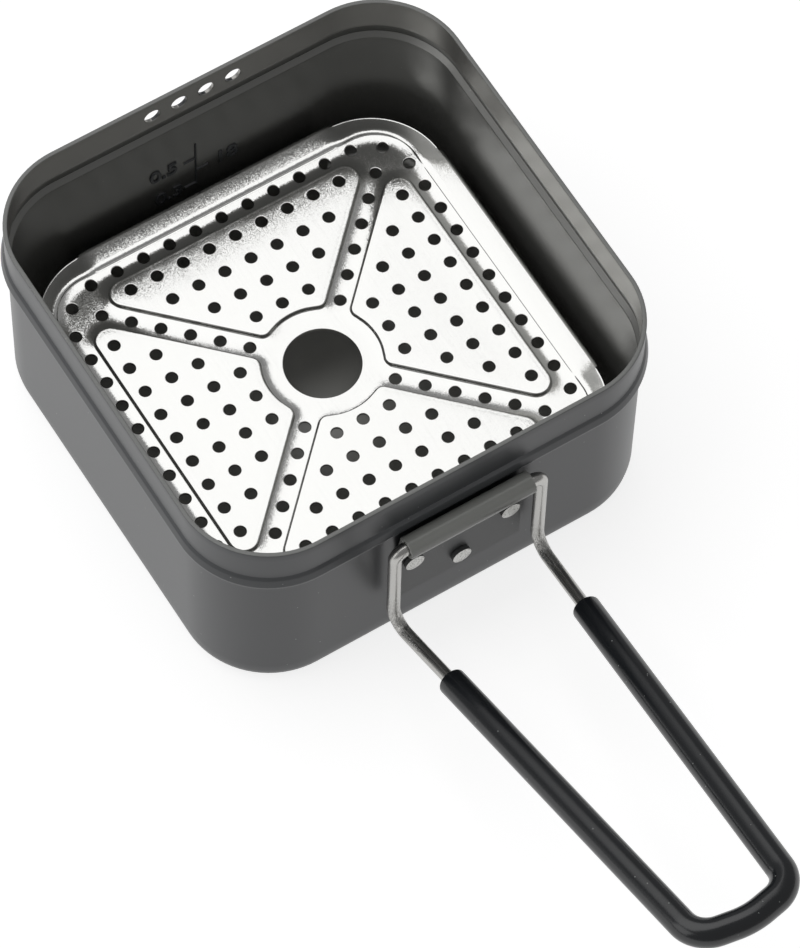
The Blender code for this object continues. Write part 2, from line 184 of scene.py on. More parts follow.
@dataclass(frozen=True)
class AnodisedAluminium(Finish):
    """Hard-anodised drawn aluminium.

    A dyed oxide skin on the metal: a dark satin grey that mirrors softly and turns
    lighter at a flat angle, with a very fine grain and a few specks of dust.
    """

    cloud_colour: str = "#000000"
    cloud_mm: float = 28.0
    grain_mm: Point = (0.3, 0.3, 0.3)
    grain_depth_mm: float = 0.001
    gloss_spread: float = 0.02
    speck_spacing_mm: float = 4.4
    speck_mm: float = 0.14
    speck_colour: str = "#b4b4b0"

    def detail(self, tree: bpy.types.NodeTree) -> Sockets:
        """Add clouding, grain and specks.

        Args:
            tree: The material's node tree.

        Returns:
            The shader's inputs that they drive.
        """
        where = add_node(tree, "TexCoord").outputs["Object"]
        cloud = add_node(tree, "TexNoise", {"Vector": where, "Scale": per_metre(self.cloud_mm),
                                            "Detail": 3.0})
        tone = add_node(tree, "Mix", {0: cloud.outputs["Fac"], 6: linear(self.colour),
                                      7: linear(self.cloud_colour)}, data_type="RGBA")
        cell = add_node(tree, "TexVoronoi", {"Vector": where, "Scale": per_metre(self.speck_spacing_mm)})
        speck = add_node(tree, "Math", {0: cell.outputs["Distance"],
                                        1: self.speck_mm / self.speck_spacing_mm}, operation="LESS_THAN")
        dusted = add_node(tree, "Mix", {0: speck.outputs[0], 6: tone.outputs[2],
                                        7: linear(self.speck_colour)}, data_type="RGBA")
        # The real grain is a few hundredths of a millimetre; it is drawn coarser so that it shows
        stretch = add_node(tree, "Mapping", {"Vector": where,
                                             "Scale": tuple(per_metre(size) for size in self.grain_mm)})
        grain = add_node(tree, "TexNoise", {"Vector": stretch.outputs[0], "Scale": 1.0, "Detail": 4.0})
        gloss = add_node(tree, "MapRange", {0: grain.outputs["Fac"], 3: self.roughness - self.gloss_spread,
                                            4: self.roughness + self.gloss_spread})
        bump = add_node(tree, "Bump", {"Strength": 0.5, "Distance": self.grain_depth_mm * MM,
                                       "Height": grain.outputs["Fac"]})
        return {"Base Color": dusted.outputs[2], "Roughness": gloss.outputs[0],
                "Normal": bump.outputs["Normal"]}


@dataclass(frozen=True)
class PeenedAluminium(Finish):
    """Bare aluminium, flattened by the riveting tool: pale, dull and pitted, with painted shade darkening its
    pits.
    """

    pit_mm: float = 0.45
    pit_depth_mm: float = 0.02
    pit_range: Pair = (0.34, 0.5)
    pit_shade_colour: str = "#8d8c88"

    def detail(self, tree: bpy.types.NodeTree) -> Sockets:
        """Add the pits.

        Args:
            tree: The material's node tree.

        Returns:
            The shader's inputs that they drive.
        """
        where = add_node(tree, "TexCoord").outputs["Object"]
        pits = add_node(tree, "TexNoise", {"Vector": where, "Scale": per_metre(self.pit_mm), "Detail": 3.0,
                                           "Roughness": 0.6})
        depth = add_node(tree, "MapRange", {0: pits.outputs["Fac"], 1: self.pit_range[0],
                                            2: self.pit_range[1]}, interpolation_type="SMOOTHSTEP")
        # Painted shade: the deeper part of each pit takes the darker colour
        tone = add_node(tree, "Mix", {0: depth.outputs[0], 6: linear(self.pit_shade_colour),
                                      7: linear(self.colour)}, data_type="RGBA")
        bump = add_node(tree, "Bump", {"Strength": 0.6, "Distance": self.pit_depth_mm * MM,
                                       "Height": depth.outputs[0]})
        return {"Base Color": tone.outputs[2], "Normal": bump.outputs["Normal"]}


@dataclass(frozen=True)
class DrawnWire(Finish):
    """Stainless wire, drawn and tumbled: bright, with lines along it and scuffs at its bends."""

    line_mm: float = 0.25
    line_length_mm: float = 14.0
    line_depth_mm: float = 0.02
    gloss_spread: Pair = (0.08, 0.12)
    scuff_mm: float = 0.5
    scuff_depth_mm: float = 0.12
    scuff_range: Pair = (0.48, 0.62)
    scuff_centre_mm: Point = (21.5, 70.0, 17.0)
    scuff_core_mm: float = 1.5
    scuff_reach_mm: float = 17.0

    def detail(self, tree: bpy.types.NodeTree) -> Sockets:
        """Add the drawing lines and the scuffs.

        Args:
            tree: The material's node tree.

        Returns:
            The shader's inputs that they drive.
        """
        where = add_node(tree, "TexCoord").outputs
        stretch = add_node(tree, "Mapping", {"Vector": where["UV"], "Scale": (
            per_metre(self.line_mm), per_metre(self.line_length_mm), 1.0)})
        lines = add_node(tree, "TexNoise", {"Vector": stretch.outputs[0], "Scale": 1.0, "Detail": 3.0})
        gloss = add_node(tree, "MapRange", {0: lines.outputs["Fac"], 3: self.roughness - self.gloss_spread[0],
                                            4: self.roughness + self.gloss_spread[1]})
        ridges = add_node(tree, "Bump", {"Strength": 0.5, "Distance": self.line_depth_mm * MM,
                                         "Height": lines.outputs["Fac"]})
        # Without their signs the places of the two bends are one, so one mask serves both
        folded = add_node(tree, "VectorMath", {0: where["Object"]}, operation="ABSOLUTE")
        away = add_node(tree, "VectorMath", {0: folded.outputs[0], 1: Vector(self.scuff_centre_mm) * MM},
                        operation="DISTANCE")
        reach = add_node(tree, "MapRange", {0: away.outputs["Value"], 1: self.scuff_reach_mm * MM,
                                            2: self.scuff_core_mm * MM}, interpolation_type="SMOOTHSTEP")
        marks = add_node(tree, "TexNoise", {"Vector": where["Object"], "Scale": per_metre(self.scuff_mm),
                                            "Detail": 4.0})
        deep = add_node(tree, "MapRange", {0: marks.outputs["Fac"], 1: self.scuff_range[0],
                                           2: self.scuff_range[1]})
        scuffs = add_node(tree, "Math", {0: deep.outputs[0], 1: reach.outputs[0]}, operation="MULTIPLY")
        worn = add_node(tree, "Bump", {"Strength": 0.8, "Distance": self.scuff_depth_mm * MM,
                                       "Height": scuffs.outputs[0], "Normal": ridges.outputs["Normal"]})
        return {"Roughness": gloss.outputs[0], "Normal": worn.outputs["Normal"]}


@dataclass(frozen=True)
class PressedSheet(Finish):
    """Bright rolled stainless sheet, pressed and pierced.

    It mirrors what is above it, a little blurred. The rolling left fine lines one way, and
    the metal's grain breaks dark reflections into small specks.
    """

    brushing: float = 0.5
    line_mm: float = 0.3
    line_length_mm: float = 24.0
    line_depth_mm: float = 0.004
    gloss_spread: float = 0.05
    grain_mm: float = 0.2
    grain_tilt: float = 0.022

    def detail(self, tree: bpy.types.NodeTree) -> Sockets:
        """Add the rolling lines and the grain.

        Args:
            tree: The material's node tree.

        Returns:
            The shader's inputs that they drive.
        """
        across = add_node(tree, "CombineXYZ", {"X": 1.0})
        where = add_node(tree, "TexCoord").outputs["Object"]
        fine, long = per_metre(self.line_mm), per_metre(self.line_length_mm)
        stretch = add_node(tree, "Mapping", {"Vector": where, "Scale": (fine, long, fine)})
        lines = add_node(tree, "TexNoise", {"Vector": stretch.outputs[0], "Scale": 1.0, "Detail": 2.0})
        gloss = add_node(tree, "MapRange", {0: lines.outputs["Fac"], 3: self.roughness - self.gloss_spread,
                                            4: self.roughness + self.gloss_spread})
        ridges = add_node(tree, "Bump", {"Strength": 0.5, "Distance": self.line_depth_mm * MM,
                                         "Height": lines.outputs["Fac"]})
        # Each grain leans its own way. The real ones are finer than a pixel; they are drawn as wide as one
        grain = add_node(tree, "TexVoronoi", {"Vector": where, "Scale": per_metre(self.grain_mm)})
        tilt = self.grain_tilt
        lean = add_node(tree, "VectorMath", {0: grain.outputs["Color"], 1: (2.0 * tilt,) * 3,
                                             2: (-tilt,) * 3}, operation="MULTIPLY_ADD")
        leaning = add_node(tree, "VectorMath", {0: ridges.outputs["Normal"], 1: lean.outputs[0]},
                           operation="ADD")
        facet = add_node(tree, "VectorMath", {0: leaning.outputs[0]}, operation="NORMALIZE")
        return {"Anisotropic": self.brushing, "Tangent": across.outputs[0], "Roughness": gloss.outputs[0],
                "Normal": facet.outputs[0]}


@dataclass(frozen=True)
class MouldedSilicone(Finish):
    """Black silicone tube, extruded: a deep black with a long soft sheen and clinging dust."""

    skin_mm: float = 0.3
    skin_depth_mm: float = 0.006
    dust_spacing_mm: float = 3.0
    dust_mm: float = 0.17
    dust_colour: str = "#8f9290"

    def detail(self, tree: bpy.types.NodeTree) -> Sockets:
        """Add the skin and the dust.

        Args:
            tree: The material's node tree.

        Returns:
            The shader's inputs that they drive.
        """
        where = add_node(tree, "TexCoord").outputs["Object"]
        cell = add_node(tree, "TexVoronoi", {"Vector": where, "Scale": per_metre(self.dust_spacing_mm)})
        dust = add_node(tree, "Math", {0: cell.outputs["Distance"], 1: self.dust_mm / self.dust_spacing_mm},
                        operation="LESS_THAN")
        tone = add_node(tree, "Mix", {0: dust.outputs[0], 6: linear(self.colour),
                                      7: linear(self.dust_colour)}, data_type="RGBA")
        skin = add_node(tree, "TexNoise", {"Vector": where, "Scale": per_metre(self.skin_mm), "Detail": 2.0})
        bump = add_node(tree, "Bump", {"Strength": 0.4, "Distance": self.skin_depth_mm * MM,
                                       "Height": skin.outputs["Fac"]})
        return {"Base Color": tone.outputs[2], "Normal": bump.outputs["Normal"]}


@dataclass(frozen=True)
class StudioPaper(Finish):
    """White studio paper: it fills the picture with white and keeps the object's shadow."""

    glow: float = 0.79
    mirrored: float = 0.68

    def detail(self, tree: bpy.types.NodeTree) -> Sockets:
        """Lift the paper to white where it is seen, and less in what mirrors it.

        Args:
            tree: The material's node tree.

        Returns:
            The shader's inputs for that.
        """
        path = add_node(tree, "LightPath").outputs
        seen = add_node(tree, "Math", {0: path["Is Camera Ray"], 1: self.glow}, operation="MULTIPLY")
        bounced = add_node(tree, "Math", {0: path["Is Glossy Ray"], 1: path["Is Transmission Ray"]},
                           operation="MAXIMUM")
        strength = add_node(tree, "Math", {0: bounced.outputs[0], 1: self.mirrored, 2: seen.outputs[0]},
                            operation="MULTIPLY_ADD")
        return {"Emission Color": linear("#ffffff"), "Emission Strength": strength.outputs[0]}


# Mesh helpers


def rounded_square(half: float, radius: float, steps: int) -> Ring:
    """Outline of a square with round corners, counterclockwise.

    Args:
        half: Half of the square's side.
        radius: Radius of its corners.
        steps: Steps in each corner.

    Returns:
        The outline's points.
    """
    points = []
    for quarter in range(4):
        start = quarter * pi / 2.0
        reach = (half - radius) * sqrt(2.0)
        centre = reach * Vector((cos(start + pi / 4.0), sin(start + pi / 4.0)))
        for step in range(steps + 1):
            angle = start + step / steps * pi / 2.0
            points.append(centre + radius * Vector((cos(angle), sin(angle))))
    return points


def circle(radius: float, steps: int) -> Ring:
    """Points of a circle about the middle, counterclockwise."""
    angles = [2.0 * pi * step / steps for step in range(steps)]
    return [radius * Vector((cos(angle), sin(angle))) for angle in angles]


def centred(count: int, pitch: float) -> list[float]:
    """Evenly spaced places about the middle."""
    return [(index - (count - 1) / 2.0) * pitch for index in range(count)]


def headings(points: Sequence[Vector]) -> Ring:
    """Direction of a run at each of its points."""
    ends = [points[0], *points, points[-1]]
    return [(after - before).normalized() for before, after in zip(ends, ends[2:])]


def corner_arc(before: Vector, corner: Vector, after: Vector, radius: float, steps: int) -> Ring:
    """Points of the arc that rounds a corner between two straight runs.

    Args:
        before: A point on the run that comes in.
        corner: The corner.
        after: A point on the run that goes out.
        radius: Radius of the arc.
        steps: Steps in the arc.

    Returns:
        The arc's points.
    """
    to_before = (before - corner).normalized()
    to_after = (after - corner).normalized()
    half = acos(max(-1.0, min(1.0, to_before.dot(to_after)))) / 2.0
    turn = pi - 2.0 * half
    centre = corner + (to_before + to_after).normalized() * radius / sin(half)
    first = corner + to_before * radius / tan(half) - centre
    last = corner + to_after * radius / tan(half) - centre
    shares = [step / steps for step in range(steps + 1)]
    return [centre + (first * sin((1.0 - s) * turn) + last * sin(s * turn)) / sin(turn) for s in shares]


def rounded_run(corners: Sequence[Vector], radii: Sequence[float], steps: int) -> Ring:
    """An open run of straight stretches whose inner corners are rounded.

    Args:
        corners: The run's ends and corners.
        radii: Radius of each inner corner.
        steps: Steps in each corner.

    Returns:
        The run's points.
    """
    points = [corners[0]]
    for index, radius in enumerate(radii, start=1):
        points += corner_arc(*corners[index - 1:index + 2], radius, steps)
    return points + [corners[-1]]


def spaced(points: Sequence[Vector], spacing: float, closed: bool = False) -> Ring:
    """Add points along long stretches, so that none is longer than the spacing.

    Args:
        points: A run of points.
        spacing: The longest stretch to leave.
        closed: Whether the run goes back to its start.

    Returns:
        The run with the added points.
    """
    ends = list(points[1:]) + ([points[0]] if closed else [])
    result = []
    for start, end in zip(points, ends):
        count = max(1, ceil((end - start).length / spacing))
        result += [start.lerp(end, step / count) for step in range(count)]
    return result if closed else result + [points[-1]]


def offset_run(corners: Sequence[Vector], distance: float) -> Ring:
    """Move an open run of straight stretches sideways, to its left.

    Args:
        corners: The run's corners, flat.
        distance: How far it moves.

    Returns:
        The moved corners.
    """
    moved = []
    for index, corner in enumerate(corners):
        into = corner - corners[index - 1] if index else corners[1] - corner
        out = corners[index + 1] - corner if index + 1 < len(corners) else into
        left_in = Vector((-into.y, into.x)).normalized()
        left_out = Vector((-out.y, out.x)).normalized()
        middle = (left_in + left_out).normalized()
        moved.append(corner + middle * distance / middle.dot(left_in))
    return moved


def loft(name: str, rings: Sequence[Sequence[Vector]], closed: bool = False) -> Mesh:
    """Join rings of equal length into a skin.

    Args:
        name: The mesh's name.
        rings: The rings, in order.
        closed: Whether the last ring joins the first; if not, the two ends are capped.

    Returns:
        A closed mesh with outward faces.
    """
    bm = bmesh.new()
    rows = [[bm.verts.new(point) for point in ring] for ring in rings]
    pairs = list(zip(rows, rows[1:])) + ([(rows[-1], rows[0])] if closed else [])
    for lower, upper in pairs:
        count = len(lower)
        for index in range(count):
            after = (index + 1) % count
            bm.faces.new((lower[index], lower[after], upper[after], upper[index]))
    if not closed:
        bm.faces.new(rows[0][::-1])
        bm.faces.new(rows[-1])
    bmesh.ops.recalc_face_normals(bm, faces=bm.faces)
    return finished(bm, name)


def finished(bm: bmesh.types.BMesh, name: str, sharp_angle: float = SHARP_ANGLE) -> Mesh:
    """Turn a bmesh into a mesh that is smooth up to an angle.

    Args:
        bm: The bmesh, which is freed.
        name: The mesh's name.
        sharp_angle: Edges that turn more than this stay sharp.

    Returns:
        The mesh.
    """
    mesh = bpy.data.meshes.new(name)
    bm.to_mesh(mesh)
    bm.free()
    mesh.shade_smooth()
    mesh.set_sharp_from_angle(angle=sharp_angle)
    return mesh


def tube_rings(path: Sequence[Vector], radii: Sequence[float], sides: int) -> list[Ring]:
    """Rings round a path, turned as little as possible from one to the next.

    Args:
        path: Points of the middle line.
        radii: Radius at each point.
        sides: Points in each ring.

    Returns:
        One ring for each point.
    """
    rings = []
    side = Vector((0.0, 0.0, 1.0))
    for point, radius, along in zip(path, radii, headings(path)):
        side = (side - along * side.dot(along)).normalized()
        other = along.cross(side)
        rings.append([point + radius * (cos(2.0 * pi * k / sides) * side + sin(2.0 * pi * k / sides) * other)
                      for k in range(sides)])
    return rings


def linked(name: str, data: bpy.types.ID) -> bpy.types.Object:
    """Put an object in the scene.

    Args:
        name: Its name.
        data: Its mesh, curve, lamp or camera.

    Returns:
        The object.
    """
    item = bpy.data.objects.new(name, data)
    bpy.context.scene.collection.objects.link(item)
    return item


def evaluated(item: bpy.types.Object) -> Mesh:
    """The mesh of an object, with everything that is set on it worked out."""
    bpy.context.view_layer.update()
    return bpy.data.meshes.new_from_object(item.evaluated_get(bpy.context.evaluated_depsgraph_get()))


def cut_out(mesh: Mesh, cutters: Sequence[Mesh]) -> Mesh:
    """Take shapes out of a solid.

    Args:
        mesh: The solid, which is used up.
        cutters: Meshes that are cut out of it, which are used up.

    Returns:
        The worked mesh.
    """
    item = linked("work", mesh)
    helpers = [linked("cutter", cutter) for cutter in cutters]
    for helper in helpers:
        boolean = item.modifiers.new("cut", "BOOLEAN")
        boolean.operation = "DIFFERENCE"
        boolean.solver = "EXACT"
        boolean.object = helper
    result = evaluated(item)
    result.name = mesh.name
    for old in (item, *helpers):
        data = old.data
        bpy.data.objects.remove(old, do_unlink=True)
        bpy.data.meshes.remove(data)
    result.shade_smooth()
    result.set_sharp_from_angle(angle=SHARP_ANGLE)
    return result


def turned_rings(profile: Sequence[Pair], centre: Vector, axis: Matrix,
                 sides: int) -> list[Ring]:
    """Rings of a turned shape.

    Args:
        profile: Radius and height of each ring.
        centre: Where height zero lies.
        axis: Turns the shape's own axis, +Z, to where it points.
        sides: Points in each ring.

    Returns:
        One ring for each entry of the profile.
    """
    return [[centre + axis @ Vector((p.x, p.y, height)) for p in circle(radius, sides)]
            for radius, height in profile]


def place(name: str, mesh: Mesh, body: Body, finishes: Sequence[Material],
          node: str | None = None) -> None:
    """Put a piece in the scene and tie it to the frame.

    Args:
        name: The piece's name.
        mesh: Its shape, in the frame's coordinates.
        body: The body that it moves with.
        finishes: Its materials.
        node: The CAD node that it stands for, if it stands for one.
    """
    mesh.name = name
    # Clearing the materials also sets every face back to the first one
    chosen = [face.material_index for face in mesh.polygons]
    mesh.materials.clear()
    for finish in finishes:
        mesh.materials.append(finish)
    mesh.polygons.foreach_set("material_index", chosen)
    piece = linked(name, mesh)
    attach(piece, body.value)
    if node:
        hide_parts(node)
    LOG.info("%s: %d faces on body %s", name, len(mesh.polygons), body.value)


def eased(share: np.ndarray) -> np.ndarray:
    """Shares from 0 to 1 that start and end softly."""
    return share * share * (3.0 - 2.0 * share)


# Axis of a turned shape that points to -Y, out of the front wall
OUT_OF_FRONT = Matrix.Rotation(radians(90.0), 3, "X")
QUARTER_TURNS = [Matrix.Rotation(quarter * pi / 2.0, 2) for quarter in range(4)]


@dataclass
class PotShell:
    """The drawn square shell, with its bead and pouring holes."""

    side: float = 130.0 * MM
    height: float = 69.5 * MM
    corner_radius: float = 24.0 * MM
    wall: float = 1.2 * MM
    floor_radius: float = 5.5 * MM
    floor_margin: float = 9.0 * MM
    rim_edge: float = 0.28 * MM
    band: float = 11.3 * MM
    band_reach: float = 0.45 * MM
    bead_height: float = 5.3 * MM
    bead_reach: float = 1.55 * MM
    bead_crest: Pair = (3.3 * MM, 4.25 * MM)
    bead_shoulder: Pair = (1.05 * MM, 1.05 * MM)
    bead_outer_radii: tuple[float, ...] = (0.2 * MM, 1.3 * MM, 1.3 * MM, 1.5 * MM, 0.3 * MM)
    bead_inner_radii: tuple[float, ...] = (0.5 * MM, 0.15 * MM, 0.3 * MM, 0.3 * MM, 2.0 * MM, 3.0 * MM)
    crease: Pair = (0.4 * MM, 1.4 * MM)
    crease_lean: float = 0.13 * MM
    pour_holes: int = 4
    pour_pitch: float = 8.0 * MM
    pour_diameter: float = 4.5 * MM
    pour_depth: float = 5.8 * MM
    pour_chamfer: float = 0.2 * MM
    pour_sides: int = 40
    drill_free: float = 3.0 * MM
    # How near a height counts as level with it, and how far up a face of the rim or the floor looks
    level_slack: float = 0.1 * MM
    rim_facing: float = 0.6
    floor_facing: float = 0.9
    corner_steps: int = 20
    bend_steps: int = 5
    ring_spacing: float = 4.0 * MM
    row_spacing: float = 3.0 * MM

    def build(self, drills: Sequence[Mesh], finishes: Sequence[Material]) -> None:
        """Make the shell.

        Args:
            drills: Cutters for the rivets' holes.
            finishes: Its materials, in the order of Skin.
        """
        rings = []
        for point in self.profile():
            ring = rounded_square(self.side / 2.0 + point.x, self.corner_radius + point.x, self.corner_steps)
            rings.append([Vector((p.x, p.y, point.y)) for p in spaced(ring, self.ring_spacing, closed=True)])
        shell = cut_out(loft("pot_shell", rings), [*self.pour_drills(), *drills])
        # The rim, the floor, the inner walls and the band take paler copies of the finish: painted light;
        # only the outside keeps the plain one
        for face in shell.polygons:
            middle, facing = face.center, face.normal
            outward = middle.x * facing.x + middle.y * facing.y
            on_rim = middle.z > self.height - self.level_slack and facing.z > self.rim_facing
            on_floor = facing.z > self.floor_facing and abs(middle.z - self.wall) < self.level_slack
            inner = Skin.BAND if middle.z > self.height - self.band else Skin.WALLS
            side = inner if outward < 0.0 else Skin.OUTSIDE
            face.material_index = Skin.RIM if on_rim else Skin.FLOOR if on_floor else side
        place("pot_shell", shell, Body.POT, finishes, "pot_body")

    def profile(self) -> Ring:
        """Section of the shell: offset from the wall line, and height.

        Returns:
            Points from the underside, up the outside, over the rim and down to the inner floor.
        """
        bead_top = self.height - self.band
        outside = [Vector((-self.floor_margin, 0.0)), Vector((0.0, 0.0)),
                   Vector((0.0, bead_top - self.bead_height)),
                   Vector((self.bead_reach, bead_top - self.bead_crest[1])),
                   Vector((self.bead_reach, bead_top - self.bead_crest[0])),
                   Vector((self.bead_shoulder[0], bead_top - self.bead_shoulder[1])),
                   Vector((self.band_reach, bead_top)), Vector((self.band_reach, self.height))]
        inside = offset_run(outside, self.wall)
        inside[-1].y = self.height
        # Inside, the band leans back a little before the bead, which draws a dark line under it
        face = inside[-1].x
        inside[-2:-1] = [Vector((face + self.crease_lean, bead_top + self.crease[0])),
                         Vector((face, bead_top + self.crease[1]))]
        outer_radii = [self.floor_radius, *self.bead_outer_radii]
        inner_radii = [self.floor_radius - self.wall, *self.bead_inner_radii]
        corners = outside + inside[::-1]
        radii = outer_radii + [self.rim_edge, self.rim_edge] + inner_radii[::-1]
        return spaced(rounded_run(corners, radii, self.bend_steps), self.row_spacing)

    def pour_drills(self) -> list[Mesh]:
        """Cutters of the pouring holes, a little wider at both faces of the wall.

        Returns:
            One cutter for each hole.
        """
        radius, edge, wall = self.pour_diameter / 2.0, self.pour_chamfer, self.wall
        wide = radius + edge
        profile = [(wide, -self.drill_free), (wide, 0.0), (radius, edge), (radius, wall - edge), (wide, wall),
                   (wide, wall + self.drill_free)]
        drills = []
        for across in centred(self.pour_holes, self.pour_pitch):
            centre = Vector((across, self.side / 2.0 + self.band_reach, self.height - self.pour_depth))
            drills.append(loft("drill", turned_rings(profile, centre, OUT_OF_FRONT, self.pour_sides)))
        return drills


@dataclass
class VolumeMarks:
    """The raised scale on the inner back wall: a line, ticks and plain numbers."""

    wall_y: float = 63.8 * MM
    proud: float = 0.45 * MM
    stroke: float = 0.5 * MM
    tick: float = 3.6 * MM
    line_top: float = 40.8 * MM
    line_bottom: float = 21.5 * MM
    ticks: tuple[Pair, ...] = ((34.0 * MM, -1.0), (28.2 * MM, 1.0), (22.1 * MM, -1.0))
    numbers: tuple[tuple[str, float, float], ...] = (
        ("0.5", -9.6 * MM, 34.2 * MM), ("18", 9.2 * MM, 28.4 * MM), ("0.3", -8.2 * MM, 22.4 * MM))
    number_height: float = 5.2 * MM
    # Size of the font over a number's height, and the share of its relief that is rounded
    number_size: float = 1.35
    number_bevel: float = 0.4
    # Widths of a stroke at its foot and its shoulder, and the shoulder's height, as shares
    ridge_foot: float = 1.3
    ridge_shoulder: Pair = (0.8, 0.7)

    def build(self, finish: Material) -> None:
        """Make the marks.

        Args:
            finish: The shell's material.
        """
        strokes = [(0.0, self.line_bottom, 0.0, self.line_top)]
        strokes += [(0.0, height, side * self.tick, height) for height, side in self.ticks]
        for index, stroke in enumerate(strokes, start=1):
            place(f"volume_stroke_{index}", self.ridge(*stroke), Body.POT, [finish])
        for index, number in enumerate(self.numbers, start=1):
            place(f"volume_number_{index}", self.number(*number), Body.POT, [finish])

    def ridge(self, x0: float, z0: float, x1: float, z1: float) -> Mesh:
        """A low half-round stroke on the wall.

        Args:
            x0: Start across the wall.
            z0: Start height.
            x1: End across the wall.
            z1: End height.

        Returns:
            The stroke's mesh.
        """
        start, end = Vector((x0, self.wall_y, z0)), Vector((x1, self.wall_y, z1))
        along = (end - start).normalized()
        across = along.cross(Vector((0.0, 1.0, 0.0))) * self.stroke / 2.0
        out = Vector((0.0, -self.proud, 0.0))
        foot = across * self.ridge_foot
        shoulder, lift = across * self.ridge_shoulder[0], out * self.ridge_shoulder[1]
        section = [foot - out, foot, lift + shoulder, out, lift - shoulder, -foot, -foot - out]
        return loft("stroke", [[start + point for point in section], [end + point for point in section]])

    def number(self, text: str, x: float, z: float) -> Mesh:
        """A raised number on the wall.

        Args:
            text: The number.
            x: Its middle across the wall.
            z: Its middle height.

        Returns:
            The number's mesh.
        """
        curve = bpy.data.curves.new("number", "FONT")
        curve.body = text
        curve.size = self.number_height * self.number_size
        curve.align_x = curve.align_y = "CENTER"
        curve.extrude = self.proud * (1.0 - self.number_bevel)
        curve.bevel_depth = self.proud * self.number_bevel
        curve.bevel_resolution = 1
        item = linked("number", curve)
        mesh = evaluated(item)
        bpy.data.objects.remove(item, do_unlink=True)
        bpy.data.curves.remove(curve)
        mesh.transform(Matrix.Translation((x, self.wall_y, z)) @ OUT_OF_FRONT.to_4x4())
        return mesh


@dataclass
class HingeBracket:
    """The sheet on the front wall: a flat leaf whose top is rolled round the wire."""

    width: float = 36.6 * MM
    sheet: float = 1.0 * MM
    wall_y: float = -65.3 * MM
    leaf_bottom: float = 19.0 * MM
    leaf_top: float = 44.5 * MM
    hinge_y: float = HINGE_Y
    hinge_z: float = HINGE_Z
    curl_radius: float = 2.55 * MM
    curl_start: float = radians(-8.0)
    curl_end: float = radians(250.0)
    curl_steps: int = 40
    spacing: float = 2.0 * MM
    edge: float = 0.18 * MM

    def build(self, drills: Sequence[Mesh], finish: Material, worn: Material) -> None:
        """Make the bracket.

        Args:
            drills: Cutters for the rivets' holes.
            finish: The leaf's material.
            worn: Material of the roll, coloured paler: painted highlight where it faces the light from above.
        """
        half, edge = self.width / 2.0, self.edge
        ends = ((-half, edge), (edge - half, 0.0), (half - edge, 0.0), (half, edge))
        rings = [[Vector((x, point.x, point.y)) for point in self.section(inset)] for x, inset in ends]
        bracket = cut_out(loft("hinge_sheet", rings), drills)
        for face in bracket.polygons:
            # Faces above the leaf, on the roll, take the paler material: painted highlight
            face.material_index = 1 if face.center.z > self.leaf_top else 0
        place("hinge_sheet", bracket, Body.POT, [finish, worn], "hinge_bracket")

    def section(self, inset: float) -> Ring:
        """Outline of the bent sheet across the hinge: y and z.

        Args:
            inset: How far the outline draws in, for rounded ends.

        Returns:
            The outline's points.
        """
        leaf_y = self.wall_y - self.sheet / 2.0
        middle = [Vector((leaf_y, self.leaf_bottom + inset)), Vector((leaf_y, self.leaf_top))]
        for step in range(self.curl_steps + 1):
            angle = self.curl_start + (self.curl_end - self.curl_start) * step / self.curl_steps
            middle.append(Vector((self.hinge_y + self.curl_radius * cos(angle),
                                  self.hinge_z + self.curl_radius * sin(angle))))
        middle = spaced(middle, self.spacing)
        half = self.sheet / 2.0 - inset
        left, right = [], []
        for point, along in zip(middle, headings(middle)):
            across = Vector((-along.y, along.x)) * half
            left.append(point + across)
            right.append(point - across)
        return left + right[::-1]


@dataclass
class Rivets:
    """Three rivets through the bracket and the wall."""

    places: tuple[tuple[str, float, float], ...] = (
        ("left", -14.2 * MM, 36.2 * MM), ("middle", 0.0, 26.0 * MM), ("right", 14.2 * MM, 36.2 * MM))
    wall_y: float = -65.0 * MM
    head: float = 2.75 * MM
    head_low: float = 1.6 * MM
    head_height: float = 1.2 * MM
    shank: float = 1.5 * MM
    clearance: float = 0.3 * MM
    tail: float = 2.5 * MM
    tail_top: float = -1.5 * MM
    tail_height: float = 0.8 * MM
    edge: float = 0.22 * MM
    edge_share: float = 0.3
    edge_sink: float = 0.02 * MM
    # Rings of the slightly domed ends: share of the radius, and how far they stand out
    head_dome: tuple[Pair, ...] = ((0.55, 0.06 * MM), (0.8, 0.02 * MM))
    tail_dome: Pair = (0.4, 0.04 * MM)
    # How far a face of the flattened ends looks along the rivet
    flat_facing: float = 0.75
    drill_reach: float = 4.0 * MM
    sides: int = 40

    def drills(self) -> list[Mesh]:
        """Cutters for the rivets' holes.

        Returns:
            One cutter for each rivet.
        """
        radius = self.shank + self.clearance
        profile = [(radius, -self.drill_reach), (radius, self.drill_reach)]
        return [loft("drill", self.turned(profile, x, z)) for _, x, z in self.places]

    def turned(self, profile: Sequence[Pair], x: float, z: float) -> list[Ring]:
        """Rings of a turned shape at one rivet's place."""
        return turned_rings(profile, Vector((x, self.wall_y, z)), OUT_OF_FRONT, self.sides)

    def build(self, top: Material, flank: Material) -> None:
        """Make the rivets.

        Args:
            top: Material of the flattened ends.
            flank: Material of the heads' sides.
        """
        high, low = self.head_low + self.head_height, self.tail_top - self.tail_height
        edge, part = self.edge, self.edge_share * self.edge
        profile = [(self.head * share, high + rise) for share, rise in self.head_dome]
        profile += [(self.head - edge, high - self.edge_sink), (self.head - part, high - part),
                    (self.head, high - edge), (self.head, self.head_low), (self.shank, self.head_low),
                    (self.shank, self.tail_top), (self.tail, self.tail_top), (self.tail, low + edge),
                    (self.tail - part, low + part), (self.tail - edge, low),
                    (self.tail * self.tail_dome[0], low - self.tail_dome[1])]
        for name, x, z in self.places:
            mesh = loft("rivet", self.turned(profile, x, z))
            for face in mesh.polygons:
                face.material_index = 0 if abs(face.normal.y) > self.flat_facing else 1
            place(f"riveted_{name}", mesh, Body.POT, [top, flank], f"rivet_{name}")


